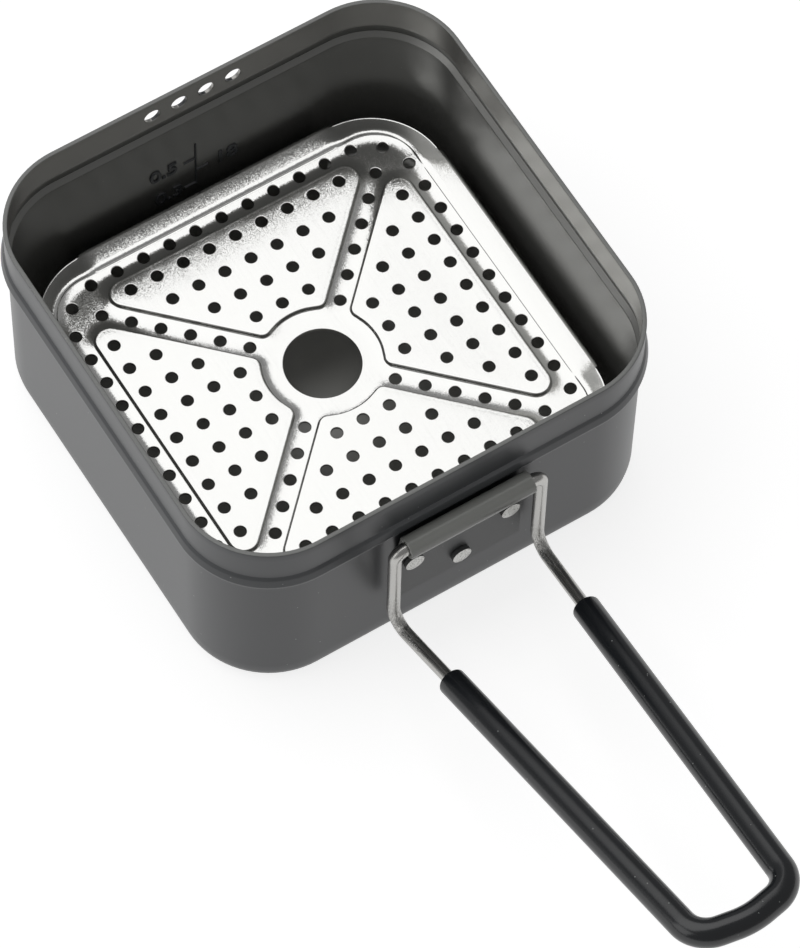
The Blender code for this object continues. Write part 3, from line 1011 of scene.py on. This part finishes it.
@dataclass
class FoldingHandle:
    """The bent wire and the sleeve on its grip."""

    hinge_y: float = HINGE_Y
    hinge_z: float = HINGE_Z
    wire: float = 3.5 * MM
    end_gap: float = 4.0 * MM
    arm_spread: float = 21.5 * MM
    arm_bottom: float = 15.5 * MM
    arm_bend: float = 3.0 * MM
    kink: float = 5.0 * MM
    rise: float = radians(15.3)
    taper: float = radians(3.5)
    length: float = 125.3 * MM
    corner: float = 7.8 * MM
    end_bow: float = 2.7 * MM
    end_radius: float = 20.0 * MM
    sleeve: float = 7.5 * MM
    sleeve_bore: float = 4.1 * MM
    sleeve_start: float = 25.0 * MM
    sleeve_edge: float = 0.7 * MM
    sleeve_edge_turns: tuple[float, ...] = (0.0, radians(22.0), radians(45.0), radians(68.0))
    bend_steps: int = 14
    spacing: float = 4.0 * MM
    sides: int = 28

    def grip_point(self, distance: float, side: float) -> Vector:
        """A point of the grip's middle line.

        Args:
            distance: How far it is out from the kinks.
            side: Left (-1), right (1) or in the middle (0).

        Returns:
            The point.
        """
        across = side * (self.arm_spread - distance * tan(self.taper))
        height = self.arm_bottom + distance * tan(self.rise)
        return Vector((across, self.hinge_y - distance, height))

    def corners(self) -> tuple[Ring, list[float]]:
        """Corners and bend radii of the whole wire.

        Returns:
            The corners from the left end to the right one, and the radii of the inner ones.
        """
        right = [Vector((x, self.hinge_y, self.hinge_z)) for x in (self.end_gap, self.arm_spread)]
        right += [self.grip_point(distance, 1.0) for distance in (0.0, self.length)]
        left = [Vector((-p.x, p.y, p.z)) for p in right]
        bends = [self.arm_bend, self.kink, self.corner]
        tip = self.grip_point(self.length + self.end_bow, 0.0)
        return left + [tip] + right[::-1], bends + [self.end_radius] + bends[::-1]

    def build(self, steel: Material, silicone: Material) -> None:
        """Make the wire and the sleeve.

        Args:
            steel: The wire's material.
            silicone: The sleeve's material.
        """
        corners, radii = self.corners()
        path = spaced(rounded_run(corners, radii, self.bend_steps), self.spacing)
        wire = loft("wire_loop", tube_rings(path, [self.wire / 2.0] * len(path), self.sides))
        self.unroll(wire, path)
        place("wire_loop", wire, Body.HANDLE, [steel], "handle_wire")

        # The sleeve follows the wire from one straight stretch of the grip to the other
        left, right = (self.grip_point(self.sleeve_start, side) for side in (-1.0, 1.0))
        run = [left, *corners[3:-3], right]
        path = spaced(rounded_run(run, radii[2:-2], self.bend_steps), self.spacing)
        place("grip_sleeve", self.sleeve_mesh(path), Body.HANDLE, [silicone], "handle_sleeve")

    def sleeve_mesh(self, path: Ring) -> Mesh:
        """A tube with rounded ends and a bore.

        Args:
            path: The tube's middle line.

        Returns:
            The tube's mesh.
        """
        outer, edge = self.sleeve / 2.0, self.sleeve_edge
        start = (path[1] - path[0]).normalized()
        end = (path[-1] - path[-2]).normalized()
        angles = self.sleeve_edge_turns
        first = [path[0] + start * edge * (1.0 - sin(angle)) for angle in angles]
        last = [path[-1] - end * edge * (1.0 - sin(angle)) for angle in angles]
        shoulder = [outer - edge * (1.0 - cos(angle)) for angle in angles]
        line = [path[0], *first[::-1], *path[1:-1], *last, path[-1]]
        radii = [outer - edge, *shoulder[::-1], *[outer] * (len(path) - 2), *shoulder, outer - edge]
        skin = tube_rings(line, radii, self.sides)
        bore = tube_rings(path, [self.sleeve_bore / 2.0] * len(path), self.sides)
        return loft("grip_sleeve", skin + bore[::-1], closed=True)

    def unroll(self, mesh: Mesh, path: Ring) -> None:
        """Give the wire coordinates round and along it, in metres.

        Args:
            mesh: The wire's mesh.
            path: Its middle line.
        """
        lengths = [0.0]
        for before, after in zip(path, path[1:]):
            lengths.append(lengths[-1] + (after - before).length)
        layer = mesh.uv_layers.new(name="along")
        girth = pi * self.wire
        for face in mesh.polygons:
            turns = [mesh.loops[index].vertex_index % self.sides for index in face.loop_indices]
            wrap = max(turns) - min(turns) > self.sides / 2
            for index, turn in zip(face.loop_indices, turns):
                row = mesh.loops[index].vertex_index // self.sides
                share = turn + self.sides if wrap and turn < self.sides / 2 else turn
                layer.data[index].uv = (share / self.sides * girth, lengths[row])


@dataclass
class SteamPlate:
    """The pressed, perforated plate on four bent skirts. Sizes are in millimetres."""

    top: float = 23.4
    sheet: float = 0.6
    flange_half: float = 59.0
    flange_radius: float = 21.0
    skirt_bend: float = 1.3
    skirt_bottom: float = 1.6
    trough_half: float = 53.3
    trough_radius: float = 12.3
    pad_outer: float = 47.8
    pad_corner: float = 4.0
    pad_root: float = 2.6
    channel_half: float = 3.3
    ring: float = 16.0
    centre_hole: float = 10.2
    pitch: float = 7.9
    hole: float = 1.6
    pad_first_row: float = 43.7
    pad_rows: tuple[int, ...] = (9, 7, 5, 3)
    trough_row: float = 50.6
    trough_holes: int = 11
    channel_first: float = 19.3
    channel_holes: int = 7
    press_depth: float = 1.45
    step_half: float = 0.17
    edge_blend: float = 0.4
    pad_roll: Pair = (0.12, 2.4)
    pad_lift: Pair = (0.22, 10.0)
    pad_lip: Pair = (0.045, 0.42)
    flange_roll: Pair = (0.3, 1.5)
    flange_tilt: float = 0.145
    flange_burr: Pair = (0.09, 0.34)
    trough_rise: Pair = (0.35, 3.2)
    trough_dish: Pair = (0.55, 6.0)
    hole_roll: float = 0.14
    flange_ease: Pair = (1.5, 5.0)
    lip_fall: float = 1.7
    loop_offsets: tuple[float, ...] = (
        -1.9, -1.3, -0.8, -0.4, -0.18, -0.1, -0.05, 0.0, 0.05, 0.1, 0.18, 0.4, 0.76)
    loop_spacing: float = 1.1
    hole_steps: int = 20
    hole_loops: tuple[float, ...] = (0.0, 0.04, 0.14, 0.26)
    fine_grid: float = 0.8
    coarse_grid: float = 2.6
    # Room that the filling points keep from edges, holes and loops, over their spacing
    edge_gap: float = 0.5
    hole_gap: float = 0.3
    loop_gap: float = 0.4
    # How near a point counts as on a hole's edge or on the flange's side
    hole_slack: float = 0.02
    side_slack: float = 0.001
    # A stretch that rises less than this is level, and points nearer than this are one
    level_rise: float = 1e-9
    weld: float = 1e-6
    # Loops across the burr and rows down the skirt, as shares of their widths
    burr_loops: tuple[float, ...] = (0.0, 0.5, 1.0)
    skirt_rows: tuple[float, ...] = (0.03, 0.5, 0.97, 1.0)
    skirt_turn_steps: int = 6
    arc_steps: int = 12
    root_steps: int = 8
    root_skip: int = 3
    trough_steps: int = 16
    flange_steps: int = 24
    centre_steps: int = 72
    sharp_angle: float = radians(60.0)

    def build(self, finish: Material) -> None:
        """Make the plate.

        Args:
            finish: The plate's material.
        """
        flat, triangles = self.pattern()
        heights = self.height(flat)
        bm = bmesh.new()
        corners = [bm.verts.new((x * MM, y * MM, (self.top + z) * MM))
                   for (x, y), z in zip(flat.tolist(), heights.tolist())]
        for triangle in triangles:
            bm.faces.new([corners[index] for index in triangle])
        for corner in [corner for corner in corners if not corner.link_faces]:
            bm.verts.remove(corner)
        down = Vector((0.0, 0.0, -self.sheet * MM))
        under = {corner: corner.co + down for corner in bm.verts}
        for quarter in range(4):
            self.add_skirt(bm, quarter, under)
        self.close_sheet(bm, under)
        sheet = finished(bm, "pressed_plate", self.sharp_angle)
        place("pressed_plate", sheet, Body.PLATE, [finish], "steam_plate")

    @staticmethod
    def close_sheet(bm: bmesh.types.BMesh, under: Mapping[bmesh.types.BMVert, Vector]) -> None:
        """Give the sheet its lower face and its cut edges.

        Args:
            bm: The bmesh of the upper face.
            under: For each of its points, the point on the lower face.
        """
        faces, borders = list(bm.faces), [edge for edge in bm.edges if edge.is_boundary]
        lower = {upper: bm.verts.new(point) for upper, point in under.items()}
        for face in faces:
            bm.faces.new([lower[corner] for corner in reversed(face.verts)])
        for edge in borders:
            start, end = edge.verts
            bm.faces.new((start, end, lower[end], lower[start]))
        bmesh.ops.recalc_face_normals(bm, faces=bm.faces)

    def pad_outline(self, grow: float) -> Ring:
        """Outline of the pad at +Y, larger all round by the given amount.

        Args:
            grow: How far it grows.

        Returns:
            The outline's points, counterclockwise.
        """
        outer = self.pad_outer + grow
        spread = (self.channel_half - grow) * sqrt(2.0)
        ring = self.ring - grow
        root_x = (sqrt(2.0 * ring ** 2 - spread ** 2) - spread) / 2.0
        root = atan2(root_x + spread, root_x)
        inner = []
        for step in range(self.arc_steps + 1):
            angle = pi - root + (2.0 * root - pi) * step / self.arc_steps
            inner.append(ring * Vector((cos(angle), sin(angle))))
        left, right = Vector((spread - outer, outer)), Vector((outer - spread, outer))
        corner, root_corner = self.pad_corner + grow, self.pad_root + grow
        points = corner_arc(inner[-1], right, left, corner, self.arc_steps)
        points += corner_arc(right, left, inner[0], corner, self.arc_steps)
        points += corner_arc(left, inner[0], inner[1], root_corner, self.root_steps)
        # The arcs at the root take up both ends of the inner run
        points += inner[self.root_skip:-self.root_skip]
        return points + corner_arc(inner[-2], inner[-1], right, root_corner, self.root_steps)

    def hole_centres(self) -> np.ndarray:
        """Centres of the small holes.

        Returns:
            One row of x and y for each hole.
        """
        rows = [(count, self.pad_first_row - row * self.pitch) for row, count in enumerate(self.pad_rows)]
        rows.append((self.trough_holes, self.trough_row))
        quarter = [(across, out) for count, out in rows for across in centred(count, self.pitch)]
        for index in range(self.channel_holes):
            reach = (self.channel_first + index * self.pitch) / sqrt(2.0)
            quarter.append((reach, reach))
        points = np.array(quarter)
        turned = points @ np.array([[0.0, 1.0], [-1.0, 0.0]])
        return np.concatenate([points, turned, -points, -turned])

    def edge_distance(self, flat: np.ndarray) -> np.ndarray:
        """Signed distances into the pressed part, from each edge round it.

        Args:
            flat: Rows of x and y.

        Returns:
            For each row the distance from the four pads and from the trough's outer edge,
            negative on a pad or on the flange.
        """
        outline = np.array([point[:] for point in self.pad_outline(0.0)])
        columns = [self.outline_distance(flat, outline @ np.array(turn).T) for turn in QUARTER_TURNS]
        columns.append(-self.square_distance(flat, self.trough_half, self.trough_radius))
        return np.stack(columns, axis=1)

    def outline_distance(self, flat: np.ndarray, outline: np.ndarray) -> np.ndarray:
        """Signed distance outside an outline.

        Args:
            flat: Rows of x and y.
            outline: Rows of x and y, in order.

        Returns:
            The distances.
        """
        nearest = np.full(len(flat), np.inf)
        inside = np.zeros(len(flat), dtype=bool)
        for start, end in zip(outline, np.roll(outline, -1, axis=0)):
            run, offset = end - start, flat - start
            share = np.clip(offset @ run / (run @ run), 0.0, 1.0)
            nearest = np.minimum(nearest, np.hypot(*(offset - share[:, None] * run).T))
            if abs(run[1]) > self.level_rise:
                crosses = (start[1] > flat[:, 1]) != (end[1] > flat[:, 1])
                inside ^= crosses & (flat[:, 0] < start[0] + (flat[:, 1] - start[1]) * run[0] / run[1])
        return np.where(inside, -nearest, nearest)

    @staticmethod
    def square_distance(flat: np.ndarray, half: float, radius: float) -> np.ndarray:
        """Signed distance outside a square with round corners.

        Args:
            flat: Rows of x and y.
            half: Half of the square's side.
            radius: Radius of its corners.

        Returns:
            The distances.
        """
        reach = np.abs(flat) - (half - radius)
        beyond = np.hypot(*np.maximum(reach, 0.0).T)
        return beyond + np.minimum(reach.max(axis=1), 0.0) - radius

    def height(self, flat: np.ndarray) -> np.ndarray:
        """Height of the pressed sheet's upper face.

        Args:
            flat: Rows of x and y.

        Returns:
            Heights from the level of the pads and the flange.
        """
        edges = self.edge_distance(flat)
        on_flange = edges[:, 4] < edges[:, :4].min(axis=1)
        # Blending the distances keeps the pressed floor round where two edges are equally near
        into = -self.edge_blend * np.log(np.exp(-edges / self.edge_blend).sum(axis=1))
        roll, reach = (np.where(on_flange, a, b) for a, b in zip(self.flange_roll, self.pad_roll))
        level = -roll * np.clip(1.0 + into / reach, 0.0, 1.0) ** 2
        middle = (self.flange_half - self.trough_half) / 2.0
        # Bending the skirts lifts the flange, but not its round corners, which have none
        straight, (past, fade) = self.flange_half - self.flange_radius, self.flange_ease
        lifted = eased(np.clip((straight + past - np.abs(flat).min(axis=1)) / fade, 0.0, 1.0))
        level -= np.where(on_flange, lifted * self.flange_tilt * (into + middle), 0.0)
        lift, reach = self.pad_lift
        near = np.clip(1.0 - (edges[:, 4] - self.trough_half + self.pad_outer) / reach, 0.0, 1.0)
        lip, inset = self.pad_lip
        bulge = lip * np.exp(-(self.lip_fall * (into / inset + 1.0)) ** 2)
        level += np.where(on_flange, 0.0, lift * near ** 2 + bulge)
        rise, width = self.trough_rise
        lift, reach = self.trough_dish
        floor = -self.press_depth + rise * np.clip(1.0 - into / width, 0.0, 1.0) ** 2
        floor += lift * np.exp(-np.clip(edges[:, 4], 0.0, None) / reach)
        share = eased(np.clip((into / self.step_half + 1.0) / 2.0, 0.0, 1.0))
        heights = level * (1.0 - share) + floor * share + self.burr_height(flat)
        rim = 1.0 - np.clip(self.hole_distance(flat) / self.hole_roll, 0.0, 1.0)
        return heights - self.hole_roll * (1.0 - np.sqrt(1.0 - rim * rim))

    def burr_height(self, flat: np.ndarray) -> np.ndarray:
        """Height of the burr that the shears leave on the flange's round corners.

        Args:
            flat: Rows of x and y.

        Returns:
            The heights.
        """
        lift, width = self.flange_burr
        beyond = self.square_distance(flat, self.flange_half, self.flange_radius)
        near = np.clip(1.0 + beyond / width, 0.0, 1.0)
        at_corner = np.abs(flat).min(axis=1) > self.flange_half - self.flange_radius + width
        return np.where(at_corner, lift * near ** 2, 0.0)

    def hole_distance(self, flat: np.ndarray) -> np.ndarray:
        """Distance outside the nearest small hole, or the middle one.

        Args:
            flat: Rows of x and y.

        Returns:
            The distances.
        """
        nearest = np.hypot(*flat.T) - self.centre_hole
        for centre in self.hole_centres():
            nearest = np.minimum(nearest, np.hypot(*(flat - centre).T) - self.hole)
        return nearest

    def pattern(self) -> tuple[np.ndarray, list[list[int]]]:
        """Flat triangles of the sheet, with loops along every pressed edge and hole.

        Returns:
            Rows of x and y, and the triangles between them.
        """
        loops: list[Ring] = []
        for offset in self.loop_offsets:
            outline = spaced(self.pad_outline(offset), self.loop_spacing, closed=True)
            loops += [[turn @ point for point in outline] for turn in QUARTER_TURNS]
            lip = rounded_square(self.trough_half - offset, self.trough_radius - offset, self.trough_steps)
            loops.append(spaced(lip, self.loop_spacing, closed=True))
        for grow in self.hole_loops:
            for centre in self.hole_centres():
                loops.append([Vector(centre) + point for point in circle(self.hole + grow, self.hole_steps)])
            loops.append(circle(self.centre_hole + grow, self.centre_steps))
        for share in self.burr_loops:
            inset = share * self.flange_burr[1]
            flange = rounded_square(self.flange_half - inset, self.flange_radius - inset, self.flange_steps)
            loops.append(spaced(flange, self.coarse_grid, closed=True))
        fixed = np.array([point[:] for loop in loops for point in loop])
        edges, first = [], 0
        for loop in loops:
            count = len(loop)
            edges += [(first + index, first + (index + 1) % count) for index in range(count)]
            first += count
        points = [Vector(row) for row in np.concatenate([fixed, self.fill_points()]).tolist()]
        found, _, faces, *_ = delaunay_2d_cdt(points, edges, [], 0, self.weld)
        flat = np.array([point[:] for point in found])
        middles = flat[np.array(faces)].mean(axis=1)
        keep = self.hole_distance(middles) > -self.hole_slack
        return flat, [face for face, kept in zip(faces, keep) if kept]

    def fill_points(self) -> np.ndarray:
        """Points between the loops: fine in the trough, coarse on the flat parts.

        Returns:
            Rows of x and y.
        """
        rows = []
        for spacing, pressed in ((self.fine_grid, True), (self.coarse_grid, False)):
            count = int(self.flange_half / spacing)
            line = np.arange(-count, count + 1) * spacing
            grid = np.stack(np.meshgrid(line, line), axis=2).reshape(-1, 2)
            into = self.edge_distance(grid).min(axis=1)
            past = into - self.loop_offsets[-1] if pressed else self.loop_offsets[0] - into
            beyond = self.square_distance(grid, self.flange_half, self.flange_radius)
            wanted = (past > self.loop_gap * spacing) & (beyond < -self.edge_gap * spacing)
            wanted &= self.hole_distance(grid) > self.hole_loops[-1] + self.hole_gap * spacing
            rows.append(grid[wanted])
        return np.concatenate(rows)

    def add_skirt(self, bm: bmesh.types.BMesh, quarter: int, under: dict[bmesh.types.BMVert, Vector]) -> None:
        """Bend a skirt down from one straight side of the flange.

        Args:
            bm: The plate's bmesh.
            quarter: Which side, in quarter turns.
            under: For each point of the upper face, the point on the lower one.
        """
        turn = Matrix.Rotation(quarter * pi / 2.0, 3, "Z")
        out, across = turn @ Vector((0.0, 1.0, 0.0)), turn @ Vector((1.0, 0.0, 0.0))
        up = Vector((0.0, 0.0, 1.0))
        side = (self.flange_half - self.side_slack) * MM
        straight = (self.flange_half - self.flange_radius + self.side_slack) * MM
        row = [v for v in bm.verts
               if v.is_boundary and v.co.dot(out) > side and abs(v.co.dot(across)) < straight]
        row.sort(key=lambda v: v.co.dot(across))
        bend, drop = self.skirt_bend, self.top - self.skirt_bottom
        turns = [pi / 2.0 * (step + 1) / self.skirt_turn_steps for step in range(self.skirt_turn_steps)]
        steps = [(bend * sin(a), bend * (1.0 - cos(a)), a) for a in turns]
        steps += [(bend, bend + (drop - bend) * share, pi / 2.0) for share in self.skirt_rows]
        base = [v.co.copy() for v in row]
        for away, down, angle in steps:
            inward = (out * sin(angle) + up * cos(angle)) * -self.sheet * MM
            new = [bm.verts.new(co + out * away * MM - up * down * MM) for co in base]
            under.update((v, v.co + inward) for v in new)
            for index in range(len(row) - 1):
                bm.faces.new((row[index], row[index + 1], new[index + 1], new[index]))
            row = new


@dataclass(frozen=True)
class SoftBox:
    """A rectangular lamp. Its radiance is how bright its face looks, and one is white."""

    name: str
    where: Point
    aim: Point
    size: Pair
    radiance: float

    def build(self) -> None:
        """Hang the lamp so that it faces its aim."""
        light = bpy.data.lights.new(self.name, "AREA")
        light.shape = "RECTANGLE"
        light.size, light.size_y = self.size
        light.energy = self.radiance * pi * self.size[0] * self.size[1]
        lamp = linked(self.name, light)
        lamp.location = self.where
        lamp.rotation_euler = (Vector(self.aim) - Vector(self.where)).to_track_quat("-Z", "Y").to_euler()


@dataclass
class Studio:
    """Floor, light and camera."""

    # A large soft box behind and over the pot, and a white board at the left
    boxes: tuple[SoftBox, ...] = (
        SoftBox("over", (-0.265, 0.44, 1.2), (-0.265, 0.0, 0.0), (1.57, 1.1), 1.12),
        SoftBox("board", (-1.15, 0.1, 0.55), (0.0, 0.0, 0.05), (0.9, 0.8), 1.0))
    aim: Point = (-3.83 * MM, -43.71 * MM, 35.0 * MM)
    distance: float = 1.47994
    azimuth: float = radians(-33.5093)
    elevation: float = radians(61.855)
    roll: float = radians(2.039)
    lens_mm: float = 222.361
    sensor_mm: float = 36.0
    floor_half: float = 6.0
    floor_drop: float = 0.2 * MM
    ambient: str = "#8a8a8a"

    def build(self, paper: Material) -> None:
        """Make the floor, the lights, the surroundings and the camera.

        Args:
            paper: The floor's material.
        """
        self.build_floor(paper)
        for box in self.boxes:
            box.build()
        world = bpy.data.worlds.new("studio")
        world.use_nodes = True
        background = world.node_tree.nodes["Background"]
        background.inputs["Color"].default_value = linear(self.ambient)
        bpy.context.scene.world = world
        bpy.context.scene.view_settings.view_transform = "Standard"
        self.build_camera()

    def build_floor(self, paper: Material) -> None:
        """Lay the floor.

        Args:
            paper: The floor's material.
        """
        half = self.floor_half
        bm = bmesh.new()
        corners = [bm.verts.new((x * half, y * half, -self.floor_drop))
                   for x, y in ((-1, -1), (1, -1), (1, 1), (-1, 1))]
        bm.faces.new(corners)
        mesh = finished(bm, "floor")
        mesh.materials.append(paper)
        floor = linked("floor", mesh)

    def build_camera(self) -> None:
        """Set the camera at the viewing angle."""
        az, el, roll = self.azimuth, self.elevation, self.roll
        back = Vector((sin(az) * cos(el), -cos(az) * cos(el), sin(el)))
        level = Vector((cos(az), sin(az), 0.0))
        upright = back.cross(level)
        right = cos(roll) * level + sin(roll) * upright
        up = cos(roll) * upright - sin(roll) * level
        data = bpy.data.cameras.new("camera")
        data.lens = self.lens_mm
        data.sensor_width = self.sensor_mm
        camera = linked("camera", data)
        turn = Matrix((right, up, back)).transposed().to_4x4()
        camera.matrix_world = Matrix.Translation(Vector(self.aim) + back * self.distance) @ turn
        bpy.context.scene.camera = camera


def main() -> None:
    """Build every sub-assembly and the studio."""
    logging.basicConfig(level=logging.INFO, format="%(name)s %(message)s")
    # Outside, a dark and even satin grey
    anodised = AnodisedAluminium("hard anodised drawn aluminium", "#424548", 0.32,
                                 cloud_colour="#404143").material()
    # On the rim a paler and duller line: painted highlight, a lighter copy of the finish on the up-facing rim
    painted_lit_rim = AnodisedAluminium("hard anodised aluminium, rubbed", "#8c8d8b", 0.36,
                               cloud_colour="#828381").material()
    # The inner walls take a copy of the finish that mirrors more like metal and shows dark what is dark; its
    # paler colour is painted light for the light the walls catch
    inside = AnodisedAluminium("hard anodised aluminium, painted light inner walls", "#8c8c8a", 0.3, 0.75,
                               cloud_colour="#868683").material()
    # The inner band takes the same mirror, paler still: painted light where the band catches the most light
    painted_lit_band = AnodisedAluminium("hard anodised aluminium, painted light band", "#aeada9", 0.31, 0.75,
                                  cloud_colour="#a8a7a3").material()
    # The floor is coloured a dull pale grey, painted light that lifts it where it shows through the plate's
    # holes; under the plate it stays dark all the same
    painted_lit_floor = AnodisedAluminium("hard anodised floor, painted light", "#b6b6b2", 0.36,
                                cloud_colour="#a6a6a2").material()
    # On the bracket the sheet's rolled grain draws faint lines along the hinge
    rolled = {"grain_mm": (9.0, 0.3, 0.3), "grain_depth_mm": 0.012}
    bracket_skin = AnodisedAluminium("hard anodised rolled sheet", "#5c5d5d", 0.45,
                                     cloud_colour="#545555", **rolled).material()
    # The roll takes a paler copy of the sheet's finish: painted highlight on the upper part of the sheet
    bracket_roll_highlight = AnodisedAluminium("hard anodised sheet, painted highlight on the roll", "#a0a19d", 0.25,
                                     cloud_colour="#92938f", **rolled).material()
    bare = PeenedAluminium("peened bare aluminium", "#d0d0cd", 0.42, 1.0).material()
    steel = DrawnWire("drawn stainless wire", "#c0bfbc", 0.26, 1.0).material()
    plate_skin = PressedSheet("pressed bright stainless sheet", "#dddddb", 0.13, 1.0).material()
    silicone = MouldedSilicone("extruded black silicone", "#15181c", 0.22, ior=1.65).material()
    paper = StudioPaper("white studio paper", "#b8b8b8", 0.9).material()

    rivets = Rivets()
    PotShell().build(rivets.drills(), [anodised, painted_lit_rim, painted_lit_floor, inside, painted_lit_band])
    # The marks take the darker outside finish rather than the inner walls' paler one: painted shade, so that
    # they read as dark strokes
    VolumeMarks().build(anodised)
    HingeBracket().build(rivets.drills(), bracket_skin, bracket_roll_highlight)
    rivets.build(bare, bracket_skin)
    FoldingHandle().build(steel, silicone)
    SteamPlate().build(plate_skin)
    Studio().build(paper)


if __name__ == "__main__":
    main()
